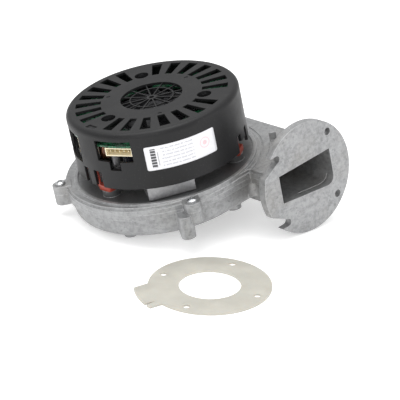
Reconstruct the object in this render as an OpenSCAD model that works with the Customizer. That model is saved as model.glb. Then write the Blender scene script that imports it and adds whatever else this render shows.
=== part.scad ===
// Premix burner blower: a die-cast volute with its motor on silicone dampers under a
// plastic cover, and the loose gasket of its outlet, as they stand on a bench.
// The blower is drawn in its own frame, with the inlet centre as origin and the shaft
// up +Z, and stand() then tips it onto its outlet flange. The outlet looks towards -Y.

/* [Stance] */
// Tip about the left-right axis, outlet side up
tip_back = -5.5; // [-7:0.5:-3]
// Tip about the outlet axis, outlet side up
tip_side = -9.5; // [-12:0.5:-7]

/* [Volute] */
// Shaft to the outer face of the front wall
scroll_front = 74.2; // [70:0.2:92]
// Growth of the scroll in each quarter turn
scroll_step = 5.8; // [4:0.2:8]
// Casting wall
wall = 3; // [2:0.25:4]
// Inlet face to the top of the upper plate
volute_h = 30; // [26:0.5:38]
// Inlet face to the split between the two castings
split_h = 23.5; // [19:0.5:26]
// Thickness of the upper plate
plate_t = 2.5; // [2:0.25:3]
// Round at the bottom edge of the volute
base_round = 9; // [6:0.5:12]
// How far the joint lip stands out from the wall
lip_w = 3.5; // [2.5:0.25:5]
// Height of the joint lip under the split
lip_h = 4.8; // [3:0.2:7]

/* [Inlet] */
// Bore of the inlet
inlet_d = 60; // [48:1:66]
// Outside of the raised inlet face
inlet_face_d = 84; // [80:1:96]
// Height of the raised inlet face
inlet_face_h = 1.2; // [0.8:0.2:2]
// Circle of the mixer's screw bosses
mixer_circle_d = 124; // [116:1:128]
// Hole of a mixer screw boss
mixer_hole_d = 4.2; // [3.5:0.1:5]
// Outside of a mixer screw boss
mixer_boss_d = 12; // [9:0.5:13]

/* [Outlet] */
// Shaft to the inner left side of the duct
duct_left = 31; // [26:0.5:36]
// How far the duct floor drops at its right side
duct_drop = 6.5; // [3:0.5:9]
// Shaft to the face of the outlet flange
flange_y = 106; // [100:1:125]
// Shaft to the flange centre, sideways
flange_x = 60.9; // [58:0.5:64]
// Inlet face to the flange centre
flange_z = 13.7; // [12:0.5:18]
// Diameter of the flange disc
flange_d = 94.8; // [92:0.5:112]
// Thickness of the flange disc
flange_t = 7; // [5:0.5:9]
// Circle of the four fixings of the flange and of its gasket
fixing_circle_d = 81.4; // [79:0.2:84]
// Hole or notch for a fixing
fixing_hole_d = 6.4; // [5.5:0.1:7]

/* [Joint screws] */
// Outside of a screw lug
lug_d = 14; // [12:0.5:16]
// Screw of a rear lug beyond the wall
lug_out = 10.8; // [9:0.2:12]
// Length of a lug under the split
lug_h = 9.5; // [8:0.5:14]
// Thread of a joint screw
joint_screw_d = 4.8; // [4:0.2:5]

/* [Dish and dampers] */
// Inner radius of the bead around the dish
bead_r = 74.5; // [73.5:0.5:75]
// Width of the bead
bead_w = 3; // [2:0.5:3]
// Height of the bead
bead_h = 1.5; // [1:0.25:2.5]
// Shaft to the damper posts
post_r = 61; // [59:0.5:62]
// Diameter of a damper post
post_d = 15; // [13:0.5:16]
// Height of a damper post
post_h = 5.5; // [4.5:0.5:8]
// Height of a damper between post and motor carrier
damper_h = 10.5; // [9.5:0.5:12]
// Width and length of a damper's foot
damper_w = 14.5; // [13:0.5:15]

/* [Motor] */
// Shaft diameter
shaft_d = 8; // [7:0.5:9]
// Outer diameter of both ball bearings
bearing_d = 22; // [20:1:24]
// Width of a ball bearing
bearing_w = 7; // [6:0.5:8]
// Wall of the bearing tube
tube_wall = 2; // [1.5:0.25:3]
// Thickness of the motor carrier plate
carrier_t = 3; // [2.5:0.25:4]
// Outer radius of the stator core
stator_r = 33; // [31:0.5:34]
// Height of the stator core
stator_h = 16; // [12:1:17]
// Number of stator teeth
teeth = 9; // [9:3:12]
// Air gap between stator and magnets
air_gap = 0.6; // [0.4:0.1:0.8]
// Thickness of the magnet ring
magnet_t = 2.8; // [2:0.2:3]
// Wall of the rotor cup
cup_wall = 1.6; // [1.2:0.2:2]

/* [Impeller] */
// Diameter of the impeller
impeller_d = 124; // [110:1:130]
// Width between its two discs
blade_h = 16.5; // [12:0.5:17]
// Number of blades
blades = 12; // [8:1:16]
// Thickness of blades and discs
sheet_t = 1; // [0.6:0.1:1.2]

/* [Circuit board] */
// Outer radius of the board
board_r = 69.8; // [66:0.2:69.8]
// Inner radius of the board
board_hole_r = 40.5; // [40:0.5:42]
// Board thickness
board_t = 1.6; // [1.2:0.2:2]
// Pitch of the signal header
header_pitch = 4; // [3.6:0.1:4.2]

/* [Motor cover] */
// Outer radius of the cover
cover_r = 72.5; // [72:0.25:73.5]
// Wall of the cover
cover_wall = 2.4; // [1.8:0.2:2.8]
// Height of the cover
cover_h = 49; // [48:0.5:58]
// Round at the top edge of the cover
cover_round = 4.6; // [3:0.2:6]
// Shaft to the cover screws
cover_screw_r = 46.5; // [45.5:0.5:48]
// Well of a cover screw
cover_well_d = 12; // [10:0.5:13]
// Inner radius of the vents
vent_in = 42.5; // [42:0.5:45]
// Outer radius of the vents
vent_out = 64; // [58:0.5:66]
// Angle that a vent takes up
vent_angle = 8; // [5:0.5:9]
// Radius of the centre grille
grille_r = 26; // [22:0.5:29]

/* [Outlet gasket] */
// Outside diameter of the gasket
gasket_d = 97.2; // [95:0.5:106]
// Hole of the gasket
gasket_hole_d = 48.8; // [40:0.5:60]
// Thickness of the gasket
gasket_t = 1.8; // [1:0.2:3]
// Screw hole of the gasket
gasket_screw_d = 5.6; // [4.5:0.1:6.5]
// Gasket centre to the curved end of its tab
tab_reach = 59.5; // [54:0.5:72]
// Width of the tab
tab_w = 34.5; // [20:0.5:40]

/* [Hidden] */

$fn = 64;
eps = 0.01;
gap = 0.3;
fit = 0.05;

// Heights in the blower's frame, from the inlet face up
ceiling_z = volute_h - plate_t;
post_top = volute_h + post_h;
carrier_z = post_top + damper_h;
carrier_top = carrier_z + carrier_t;
cover_z = carrier_z - 3.5;
cover_top = cover_z + cover_h;
cover_inner = cover_top - cover_wall;
board_z = cover_inner - 10.5;
board_top = board_z + board_t;

// Scroll of three quarter arcs, whose centres stand on a small square
half_step = scroll_step / 2;
arc_r = scroll_front + half_step;
scroll_right = scroll_front + 3 * scroll_step;
duct_out = duct_left - wall;
duct_right = scroll_right - wall;
flange_back = flange_y - flange_t;
keel_start = 20;
plate_step = 1.5;
seal_out = 1.1;
seal_w = 1.4;
seal_h = 1.2;
lug_top = volute_h + 0.7;
front_fillet = 6;
duct_corner = 7;
notch_angle = 28;

// Stations around the shaft
stations = [-60, 60, 180];
post_turn = 3;
mixer_angles = [15, 105, 195, 285];
// Angle of each lug, and its screw beyond the wall
lugs = [[-116, 9.8], [145, 7.4], [62, lug_out], [12, lug_out]];
outlet_lug = [scroll_right + lug_out - lip_w, -flange_back + 22];
pillar_angle = -121.5;
pillar_z = 1.5;
pillar_d = 12;

// Plane that the blower stands on, in the blower's frame
floor_n = [-cos(tip_back) * sin(tip_side), sin(tip_back), cos(tip_back) * cos(tip_side)];
flange_dip = flange_d / 2 * norm([floor_n[0], floor_n[2]]);
floor_d = floor_n[0] * flange_x - floor_n[1] * flange_back + floor_n[2] * flange_z - flange_dip;
function floor_z(x, y) = (floor_d - floor_n[0] * x - floor_n[1] * y) / floor_n[2];
foot_reach = (mixer_circle_d + mixer_boss_d) / 2;
foot_z = max([for (a = mixer_angles) floor_z(foot_reach * cos(a), foot_reach * sin(a))]);

// Distance from the shaft to the scroll's wall along an angle
function arc_hit(c, r, u) = c * u + sqrt(r * r - c * c + (c * u) * (c * u));
function scroll_at(a) =
    let (u = [cos(a), sin(a)])
    u[0] < 0 && u[1] < 0 ? arc_hit([-half_step, half_step], arc_r, u)
    : u[0] < 0 ? arc_hit([half_step, half_step], arc_r + scroll_step, u)
    : arc_hit([half_step, -half_step], arc_r + 2 * scroll_step, u);
// A screw's place over the plate, with the length of the web back to the wall as third number
function lug_place(a, reach) =
    [(scroll_at(a) + reach) * cos(a), (scroll_at(a) + reach) * sin(a), reach];
lug_spots = concat([for (l = lugs) lug_place(l[0], l[1])], [[outlet_lug[0], outlet_lug[1], lug_out]]);

// Motor sizes that follow from the driving ones
tube_r = bearing_d / 2 + tube_wall;
tube_low = ceiling_z + 11;
core_z = carrier_top + 5;
core_top = core_z + stator_h;
coil_t = 2.5;
insulator_t = 1.2;
magnet_in = stator_r + air_gap;
cup_in = magnet_in + magnet_t;
cup_out = cup_in + cup_wall;
cup_top = core_top + 7;
tube_top = core_top - 2;
hub_r = 10;
race_t = 1.9;
ball_r = (bearing_d / 2 - shaft_d / 2 - 2 * race_t) / 2 - fit;
pitch_r = (bearing_d + shaft_d) / 4;
spring_t = 0.6;
fan_z = cup_top;
fan_top = cover_inner - 4.5;

// Impeller sizes that follow from the driving ones
disc_z = ceiling_z - 2 - sheet_t;
blade_z = disc_z - blade_h;
eye_r = inlet_d / 2 + 2;
hub_low = disc_z - 11;
shaft_low = hub_low - 3;
collar_wall = 1.2;
collar_top = blade_z - sheet_t + gap;

// Fasteners
joint_head_d = 8.6;
joint_head_h = 3;
joint_screw_len = lug_top - split_h + lug_h - 2.5;
damper_screw_d = 4;
damper_screw_len = carrier_t + damper_h + post_h - 0.5;
cover_screw_d = 3.5;
well_floor = cover_top - 5.5;
cover_screw_len = well_floor - board_z + 7;

// Silicone dampers
arm_w = 9;
arm_start = 50;
foot_h = 5;
neck_d = 9;
fin_t = 2;
fin_w = 3;
fin_h = 8;

// Openings in the cover, as angle from, angle to, height from, height to
signal_window = [-172, -145.5, 24.5, 42.5];
signal_slot = [-163, -155, 17, 25];
power_window = [143, 170, 17, 41];

// Opening over each damper: station, from, to, then from, to and low end of the tongue in it
damper_windows = [[-60, -8, 10, -3, 5, 7], [60, -8, 10, -3, 5, 7], [180, -10, 8, -4, 1, -2]];

// Connectors under the edge of the board, with the radius of their open fronts
header_depth = 11;
signal_r = 70;
power_r = 66;
signal_angle = -155.5;
signal_w = 5 * header_pitch + 4;
power_angle = 157;
power_w = 22;

module stand() {
    rotate([tip_back, 0, 0]) rotate([0, tip_side, 0]) children();
}

module at_stations(r) {
    for (a = stations) rotate(a) translate([r, 0, 0]) children();
}

module at_posts() {
    rotate(post_turn) at_stations(post_r) children();
}

// Ring between two radii, from z0 up to z1
module ring(r_in, r_out, z0, z1) {
    translate([0, 0, z0]) difference() {
        cylinder(r = r_out, h = z1 - z0);
        translate([0, 0, -1]) cylinder(r = r_in, h = z1 - z0 + 2);
    }
}

// Part of a ring between two angles
module sector(r_in, r_out, z0, z1, a0, a1) {
    translate([0, 0, z0]) rotate(a0) rotate_extrude(angle = a1 - a0)
        translate([r_in, 0]) square([r_out - r_in, z1 - z0]);
}

// Upright section of the volute, from x0 out to x1 and h high, outer bottom edge rounded by f
module side(x0, x1, h, f) {
    polygon(concat([[x0, 0]],
        [for (k = f > 0 ? [270:15:360] : [270]) [x1 - f + f * cos(k), f + f * sin(k)]],
        [[x1, h], [x0, h]]));
}

// One quarter of the scroll about its own centre
module quarter(c, r, a, h, f) {
    translate([c[0], c[1], 0]) rotate(a) rotate_extrude(angle = 90, $fn = 128) side(0, r, h, f);
}

// Volute body from z0 up to z1, with its side faces moved out by g
module volute(g, z0, z1, f, y_end) {
    h = z1 - z0;
    r = arc_r + g;
    left = duct_out - g;
    front = scroll_front + g;
    translate([0, 0, z0]) {
        quarter([-half_step, half_step], r, 180, h, f);
        quarter([half_step, half_step], r + scroll_step, 90, h, f);
        quarter([half_step, -half_step], r + 2 * scroll_step, 0, h, f);
        translate([-half_step, half_step, 0]) rotate([90, 0, 90])
            linear_extrude(half_step + left + front_fillet) mirror([1, 0]) side(0, front + half_step, h, f);
        translate([0, -half_step, 0]) rotate([90, 0, 0])
            linear_extrude(y_end - half_step) side(left, scroll_right + g, h, f);
    }
}

// Concave round where the front wall turns into the duct
module corner_fill(g, z0, z1) {
    left = duct_out - g;
    front = scroll_front + g;
    f = front_fillet - g;
    translate([left - f, -front - f, z0]) linear_extrude(z1 - z0) polygon(concat(
        [for (k = [90:-15:0]) f * [cos(k), sin(k)]],
        [[f + wall / 2, 0], [f + wall / 2, f + wall / 2], [0, f + wall / 2]]));
}

// Deeper floor of the duct, which drops towards its right side and the flange
module duct_keel(g, y_end) {
    hull() {
        keel_end(g, y_end);
        keel_end(g, keel_start);
    }
}
module keel_end(g, y) {
    left = duct_left - g;
    right = duct_right + g;
    r = duct_corner + g;
    floor_in = wall - g;
    drop = duct_drop * (y - keel_start) / (flange_y - keel_start);
    translate([0, 1 - y, 0]) rotate([90, 0, 0]) linear_extrude(1) polygon(concat([[left, floor_in]],
        [for (k = [270:15:360]) [right - r + r * cos(k), floor_in - drop + r + r * sin(k)]],
        [[right, split_h / 2], [left, split_h / 2]]));
}

// One open or closed fixing of the outlet flange, cut along the disc's own axis
module fixing_cut(sx, sz) {
    s = fixing_circle_d / 2 / sqrt(2);
    translate([flange_x + sx * s, -flange_y + flange_t + 1, flange_z + sz * s]) rotate([90, 0, 0]) {
        cylinder(d = fixing_hole_d, h = flange_t + 2);
        if (sx < 0) linear_extrude(flange_t + 2) notch(sz);
    }
}

// Plan of an open fixing, which widens towards the rim and the middle of the disc's side
module notch(sz) {
    r = fixing_hole_d / 2;
    reach = flange_d / 4;
    polygon([[0, sz * r], [-reach, sz * r], [-reach, -sz * (r + reach * tan(notch_angle))], [0, -sz * r]]);
}

module lower_housing() {
    color("darkgray") stand() difference() {
        union() {
            difference() {
                lower_body();
                volute(-wall, wall, split_h + 1, base_round - wall, flange_y + 1);
                duct_keel(0, flange_y + 1);
                translate([duct_left, -flange_y - 1, split_h - 1])
                    cube([duct_right - duct_left, flange_t + 2, ceiling_z - split_h + 1]);
            }
            // Collar that leads the gas into the impeller's eye
            ring(inlet_d / 2, inlet_d / 2 + collar_wall, wall / 2, collar_top);
        }
        translate([0, 0, -inlet_face_h - 1]) cylinder(d = inlet_d, h = collar_top + inlet_face_h + 2);
        for (a = mixer_angles) rotate(a) translate([mixer_circle_d / 2, 0, foot_z - 1])
            cylinder(d = mixer_hole_d, h = 1 - foot_z + wall / 2);
        for (p = lug_spots) translate([p[0], p[1], split_h - lug_h + 2])
            cylinder(d = joint_screw_d, h = lug_h);
        for (sx = [-1, 1], sz = [-1, 1]) fixing_cut(sx, sz);
        seal_band();
    }
}

// Outside of the lower casting, before its hollow is taken out
module lower_body() {
    lip_mid = split_h - lip_h / 2;
    volute(0, 0, lip_mid, base_round, flange_back);
    corner_fill(0, base_round / 2, lip_mid);
    volute(lip_w, split_h - lip_h, split_h, 0, flange_back);
    duct_keel(wall, flange_back - 1);
    ring(inlet_d / 2 - 1, inlet_face_d / 2, -inlet_face_h, wall / 2);
    for (a = mixer_angles) rotate(a) translate([mixer_circle_d / 2, 0, foot_z])
        cylinder(d = mixer_boss_d, h = wall / 2 - foot_z);
    for (p = lug_spots) translate([p[0], p[1], split_h - lug_h]) lug(lug_h, lug_d, p);
    rotate(pillar_angle) translate([scroll_at(pillar_angle) + lug_out, 0, pillar_z])
        lug(lip_mid - pillar_z, pillar_d, [1, 0, lug_out]);
    translate([flange_x, -flange_back, flange_z]) rotate([90, 0, 0])
        cylinder(d = flange_d, h = flange_t, $fn = 128);
}

// Plan of a boss that grows out of the wall towards +X, with a web back to the wall
module lug(h, d, p) {
    r = d / 2;
    rotate(atan2(p[1], p[0])) linear_extrude(h) polygon(concat(
        [for (k = [-90:15:90]) r * [cos(k), sin(k)]],
        [[-p[2] - wall / 2, r], [-p[2] - wall / 2, -r]]));
}

// Groove and cord between the castings, along the middle of the lip
module seal_band() {
    difference() {
        volute(seal_out, split_h - seal_h, split_h, 0, flange_back);
        volute(seal_out - seal_w, split_h - seal_h - 1, split_h + 1, 0, flange_back + 1);
    }
}

module upper_housing() {
    color("silver") stand() difference() {
        union() {
            volute(lip_w, split_h, ceiling_z, 0, flange_back);
            volute(lip_w - plate_step, split_h + 1, volute_h, 0, flange_back);
            ring(bead_r, bead_r + bead_w, ceiling_z - 1, volute_h + bead_h);
            at_posts() translate([0, 0, ceiling_z + 1]) cylinder(d = post_d, h = plate_t + post_h - 1);
            for (p = lug_spots) translate([p[0], p[1], split_h]) lug(lug_top - split_h, lug_d, p);
            deck_rib();
        }
        difference() {
            volute(-wall, split_h - 1, ceiling_z, 0, flange_y);
            ring(0, shaft_d / 2 + 9, ceiling_z - 1, ceiling_z + 1);
        }
        translate([0, 0, ceiling_z - 4]) cylinder(r = shaft_d / 2 + 5, h = plate_t + 5);
        at_posts() translate([0, 0, volute_h - 1]) cylinder(d = damper_screw_d, h = post_h + 2);
        for (p = lug_spots) translate([p[0], p[1], split_h - 1])
            cylinder(d = joint_screw_d + 0.4, h = volute_h - split_h + 2);
        translate([0, 0, volute_h - 0.6]) sector(81, 83, 0, 2, -76, -12);
    }
}

// Low arc on the plate behind the flange, with a short post at its far end
module deck_rib() {
    r = 89.5;
    low = volute_h - 1;
    sector(r, r + 3.5, low, volute_h + 3.5, -57, -40);
    rotate(-39.5) translate([r - 0.5, -3, low]) cube([6, 6, 11.5]);
}

module housing_seal() {
    color("dimgray") stand() seal_band();
}

module housing_screws() {
    color("gainsboro") stand() for (p = lug_spots) translate([p[0], p[1], lug_top])
        pan_screw(joint_screw_d, joint_screw_len, joint_head_d, joint_head_h);
}

// Screw whose head sits on z = 0, with a cross recess
module pan_screw(d, len, head_d, head_h) {
    translate([0, 0, -len]) cylinder(d = d, h = len);
    difference() {
        rotate_extrude() intersection() {
            square([head_d / 2, head_h]);
            translate([0, -head_d * 0.9 + head_h]) circle(head_d * 0.9);
        }
        for (a = [0, 90]) rotate(a) translate([-head_d * 0.3, -0.5, head_h * 0.45])
            cube([head_d * 0.6, 1, head_h]);
    }
}

module motor_carrier() {
    color("silver") stand() difference() {
        union() {
            ring(0, 56, carrier_z, carrier_top);
            translate([0, 0, carrier_z]) linear_extrude(carrier_t) rotate(post_turn)
                at_stations(arm_start) translate([0, -arm_w / 2]) square([post_r + arm_w / 2 - arm_start, arm_w]);
            ring(0, tube_r, tube_low, tube_top);
            at_stations(cover_screw_r) translate([0, 0, carrier_z]) cylinder(d = 9, h = board_z - carrier_z);
        }
        translate([0, 0, tube_low - 1]) cylinder(r = shaft_d / 2 + 2.5, h = tube_top - tube_low + 2);
        translate([0, 0, tube_low - 1]) cylinder(d = bearing_d, h = bearing_w + spring_t + 1);
        translate([0, 0, tube_top - bearing_w]) cylinder(d = bearing_d, h = bearing_w + 1);
        at_posts() translate([0, 0, carrier_z - 1])
            cylinder(d = damper_screw_d + 0.4, h = carrier_t + 2);
        at_stations(cover_screw_r) translate([0, 0, board_z - 10]) cylinder(d = cover_screw_d, h = 11);
    }
}

module silicone_dampers() {
    color("orangered") stand() at_posts() difference() {
        union() {
            translate([-damper_w / 2, -damper_w / 2, post_top]) cube([damper_w, damper_w, foot_h]);
            translate([0, 0, post_top + foot_h / 2]) cylinder(d = neck_d, h = damper_h - foot_h / 2);
            translate([damper_w / 2 - fin_t, -damper_w / 2, post_top + foot_h / 2])
                cube([fin_t, fin_w, carrier_z + fin_h - post_top - foot_h / 2]);
        }
        translate([0, 0, post_top - 1]) cylinder(d = damper_screw_d + 0.1, h = damper_h + 2);
    }
}

module damper_screws() {
    color("gainsboro") stand() at_posts() translate([0, 0, carrier_top])
        pan_screw(damper_screw_d, damper_screw_len, 8, 2.6);
}

// Block that carries the heat of the drive transistors down into the dish
module heat_sink() {
    size = [22.5, 39];
    neck = 16;
    low = volute_h + 1;
    color("silver") stand() rotate(-118) translate([44, -27.8, low]) {
        cube([size[0], size[1], cover_z - gap - low]);
        cube([neck, size[1], carrier_z - low]);
    }
}

// Strip bolted to the carrier and bent up behind the window of the power connector
module earth_tab() {
    r = 68;
    color("lightgray") stand() {
        sector(r - 1, r, carrier_top, carrier_top + 12, 146, 164);
        sector(50, r - 0.5, carrier_top, carrier_top + 1.5, 154, 163);
    }
}

// Race of a ball bearing at both ends of the bearing tube
module at_bearings() {
    for (z = [tube_low, tube_top - bearing_w]) translate([0, 0, z]) children();
}
module bearing_outer_races() {
    color("lightgray") stand() at_bearings() ring(bearing_d / 2 - race_t, bearing_d / 2, 0, bearing_w);
}

module bearing_inner_races() {
    color("lightgray") stand() at_bearings() ring(shaft_d / 2, shaft_d / 2 + race_t, 0, bearing_w);
}

module bearing_balls() {
    color("gainsboro") stand() at_bearings() for (k = [0:7])
        rotate(k * 45) translate([pitch_r, 0, bearing_w / 2]) sphere(ball_r, $fn = 32);
}

module preload_spring() {
    z = tube_low + bearing_w;
    color("gray") stand() ring(bearing_d / 2 - race_t, bearing_d / 2 - fit, z, z + spring_t);
}

// Flat plan of the stator: a ring with T-shaped teeth
module stator_plan(grow) {
    difference() {
        union() {
            circle(19 + grow);
            for (k = [0:teeth - 1]) rotate(k * 360 / teeth)
                translate([0, -2.5 - grow]) square([stator_r - 2, 5 + 2 * grow]);
            if (grow == 0) intersection() {
                difference() {
                    circle(stator_r);
                    circle(stator_r - 3);
                }
                for (k = [0:teeth - 1]) rotate(k * 360 / teeth)
                    translate([0, -9]) square([stator_r + 1, 18]);
            }
        }
        circle(tube_r);
    }
}

module stator_core() {
    color("dimgray") stand() translate([0, 0, core_z]) linear_extrude(stator_h) stator_plan(0);
}

module stator_insulator() {
    color("white") stand() for (z = [core_z - insulator_t, core_top])
        translate([0, 0, z]) linear_extrude(insulator_t) intersection() {
            stator_plan(0.4);
            circle(stator_r - 3.2);
        }
}

module stator_coils() {
    low = core_z - insulator_t;
    high = core_top + insulator_t;
    color("peru") stand() for (k = [0:teeth - 1]) rotate(k * 360 / teeth) difference() {
        translate([21, -2.9 - coil_t, low - coil_t])
            cube([stator_r - 3.6 - 21, 5.8 + 2 * coil_t, high - low + 2 * coil_t]);
        translate([20, -2.9, low]) cube([20, 5.8, high - low]);
    }
}

module motor_shaft() {
    color("lightgray") stand() difference() {
        translate([0, 0, shaft_low]) cylinder(d = shaft_d, h = fan_z + 4 - shaft_low);
        ring(shaft_d / 2 - 0.5, shaft_d, hub_low - 1, hub_low);
    }
}

module shaft_seal() {
    color("black") stand() ring(shaft_d / 2 + fit, shaft_d / 2 + 5, ceiling_z - 1, volute_h);
}

module retaining_ring() {
    color("gray") stand() difference() {
        ring(shaft_d / 2, shaft_d / 2 + 2, tube_top + 0.2, tube_top + 1);
        translate([0, -1.5, tube_top]) cube([10, 3, 2]);
    }
}

module rotor_hub() {
    color("goldenrod") stand() {
        ring(shaft_d / 2, 7, tube_top + 1.5, cup_top);
        ring(shaft_d / 2, hub_r, cup_top - cup_wall - 1.5, cup_top - cup_wall);
    }
}

module rotor_cup() {
    color("dimgray") stand() {
        ring(cup_in, cup_out, core_z - 3, cup_top);
        ring(7, cup_in + eps, cup_top - cup_wall, cup_top);
    }
}

module rotor_magnets() {
    poles = 12;
    color("black") stand() for (k = [0:poles - 1])
        sector(magnet_in, cup_in, core_z - 2, core_top + 2, k * 360 / poles + 1, (k + 1) * 360 / poles - 1);
}

// Curved blade as a strip of a circle, between two radii, bent against the spin
module blade_plan(r_in, r_out, bend, offset_x, t) {
    intersection() {
        difference() {
            circle(r_out);
            circle(r_in);
        }
        translate([offset_x, 0]) difference() {
            circle(bend + t / 2);
            circle(bend - t / 2);
        }
        translate([-r_out, -2 * r_out]) square([2 * r_out, 2 * r_out]);
    }
}

module cooling_fan() {
    vanes = 11;
    color("darkslategray") stand() {
        ring(shaft_d / 2, 32, fan_z, fan_z + 1.5);
        ring(shaft_d / 2, 9, fan_z + 1.5 - eps, fan_top - 2);
        for (k = [0:vanes - 1]) rotate(k * 360 / vanes) translate([0, 0, fan_z + 1.5 - eps])
            linear_extrude(fan_top - fan_z - 1.5) blade_plan(11, 31, 22, 19, 1.2);
    }
}

module impeller_hub() {
    color("silver") stand() {
        ring(shaft_d / 2, 9, hub_low, disc_z + sheet_t);
        ring(8.9, 15, disc_z - 1.5, disc_z);
    }
}

module impeller_back_disc() {
    color("silver") stand() ring(9, impeller_d / 2, disc_z, disc_z + sheet_t);
}

module impeller_blades() {
    r = impeller_d / 2;
    color("silver") stand() for (k = [0:blades - 1]) rotate(k * 360 / blades)
        translate([0, 0, blade_z]) linear_extrude(blade_h)
            blade_plan(eye_r + 3, r - 0.5, r * 0.65, r * 0.57, sheet_t);
}

module impeller_front_disc() {
    color("silver") stand() ring(eye_r, impeller_d / 2, blade_z - sheet_t, blade_z);
}

module impeller_clip() {
    color("gray") stand() difference() {
        ring(shaft_d / 2 - 0.5, shaft_d / 2 + 2, hub_low - 1, hub_low);
        translate([0, -1.5, hub_low - 2]) cube([10, 3, 4]);
    }
}

module circuit_board() {
    color("seagreen") stand() difference() {
        ring(board_hole_r, board_r, board_z, board_top);
        at_stations(cover_screw_r) translate([0, 0, board_z - 1])
            cylinder(d = cover_screw_d + 0.5, h = board_t + 2);
    }
}

// Chip-like blocks at [angle, radius, length, width, height] on the board's top side
chips = [[-120, 54, 9, 7, 2.2], [-147, 56, 6, 6, 1.8], [-104, 58, 5, 4, 2.6], [-90, 50, 4, 3, 1.5],
    [20, 55, 12, 8, 2.4], [95, 55, 7, 5, 2], [120, 57, 5, 5, 3], [-30, 54, 8, 6, 2], [150, 54, 6, 4, 3]];
module board_chips() {
    color("black") stand() for (c = chips) rotate(c[0]) translate([c[1] - c[2] / 2, -c[3] / 2, board_top])
        cube([c[2], c[3], c[4]]);
}

module board_capacitors() {
    places = [[-20, 54.5], [20, 54.5], [100, 54.5], [-158, 50]];
    color("darkslategray") stand() for (p = places)
        rotate(p[0]) translate([p[1], 0, board_z - 24]) cylinder(d = 12.5, h = 24);
}

module board_choke() {
    color("sienna") stand() rotate(-173.5) translate([61.5, 0, board_z - 13]) difference() {
        cylinder(d = 10, h = 13);
        translate([0, 0, -1]) cylinder(d = 4, h = 12);
    }
}

// Connector body with an open front at r, w wide and h tall
module header(angle, r, w, h, rim) {
    rotate(angle) translate([r - header_depth, -w / 2, board_z - h]) difference() {
        cube([header_depth, w, h]);
        translate([2, rim, rim]) cube([header_depth, w - 2 * rim, h - 2 * rim]);
    }
}

// Pin inside a connector, set sideways by y and down from the board by drop
module pin(r, y, drop, w, h) {
    translate([r - header_depth + 2, y - w / 2, board_z - drop]) cube([7, w, h]);
}

module signal_header() {
    color("wheat") stand() header(signal_angle, signal_r, signal_w, 7, 0.8);
}

module signal_pins() {
    color("gold") stand() rotate(signal_angle) for (k = [-2:2]) pin(signal_r, k * header_pitch, 4, 1, 1);
}

module power_header() {
    color("wheat") stand() header(power_angle, power_r, power_w, 18, 1);
}

module power_pins() {
    color("gold") stand() rotate(power_angle) for (k = [-1:1]) pin(power_r, k * 6, 10, 0.8, 3);
}

// Half section of the cover's shell
module cover_section() {
    r = cover_round;
    difference() {
        union() {
            square([cover_r, cover_h - r]);
            square([cover_r - r, cover_h]);
            translate([cover_r - r, cover_h - r]) circle(r);
        }
        translate([0, -1]) square([cover_r - cover_wall, cover_h - cover_wall - 1]);
        translate([0, -1]) square([cover_r - cover_wall - 2, cover_h - cover_wall + 1]);
    }
}

module cover_shell() {
    translate([0, 0, cover_z]) rotate_extrude($fn = 128) cover_section();
    at_stations(cover_screw_r) translate([0, 0, board_top])
        cylinder(d = cover_well_d + 3, h = cover_top - cover_wall / 2 - board_top);
}

// Cuts the cover's side wall from angle to angle and from height to height
module window(w) {
    sector(cover_r - 8, cover_r + 5, cover_z + w[2], cover_z + w[3], w[0], w[1]);
}

// Opening over a damper, with a tongue of the wall left standing in it
module damper_window(w) {
    difference() {
        window([w[0] + w[1], w[0] + w[2], -1, 14]);
        sector(cover_r - 9, cover_r + 6, cover_z + w[5], cover_z + 15, w[0] + w[3], w[0] + w[4]);
    }
}

module motor_cover() {
    color("#3a3a3c") stand() {
        difference() {
            cover_shell();
            at_stations(cover_screw_r) {
                translate([0, 0, well_floor]) cylinder(d = cover_well_d, h = cover_top);
                translate([0, 0, board_top - 1])
                    cylinder(d = cover_screw_d + 0.5, h = well_floor - board_top + 2);
            }
            for (k = [0:23]) if (k % 8 != 4) rotate(k * 15)
                sector(vent_in, vent_out, cover_inner - 1, cover_top + 1, -vent_angle / 2, vent_angle / 2);
            translate([0, 0, cover_inner - 1]) cylinder(r = grille_r, h = cover_wall + 2);
            for (w = [signal_window, signal_slot, power_window]) window(w);
            for (w = damper_windows) damper_window(w);
            // Pocket at the edge and shallow marks inside the vents
            sector(vent_out - 2, vent_out + 3, cover_top - 0.8, cover_top + 1, 175.5, 184.5);
            for (a = [-120, 0, 120]) rotate(a) translate([38.5, 0, cover_top - 0.5]) cylinder(d = 3.5, h = 1);
        }
        translate([0, 0, cover_inner]) grille();
    }
}

// Spider web over the cooling fan
module grille() {
    t = 1.2;
    w = 0.9;
    ring(2.2, 4.2, 0, t);
    ring(grille_r * 0.68, grille_r * 0.68 + w, 0, t);
    for (k = [0:11]) rotate(k * 30) translate([3.2, -w / 2, 0]) cube([grille_r - 2.7, w, t]);
}

module cover_screws() {
    color("gainsboro") stand() at_stations(cover_screw_r) translate([0, 0, well_floor])
        pan_screw(cover_screw_d, cover_screw_len, 7, 2.4);
}

module rating_label() {
    color("white") stand()
        sector(cover_r, cover_r + 0.2, cover_z + 15.7, cover_z + 36.5, -137.5, -89.5);
}

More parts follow.
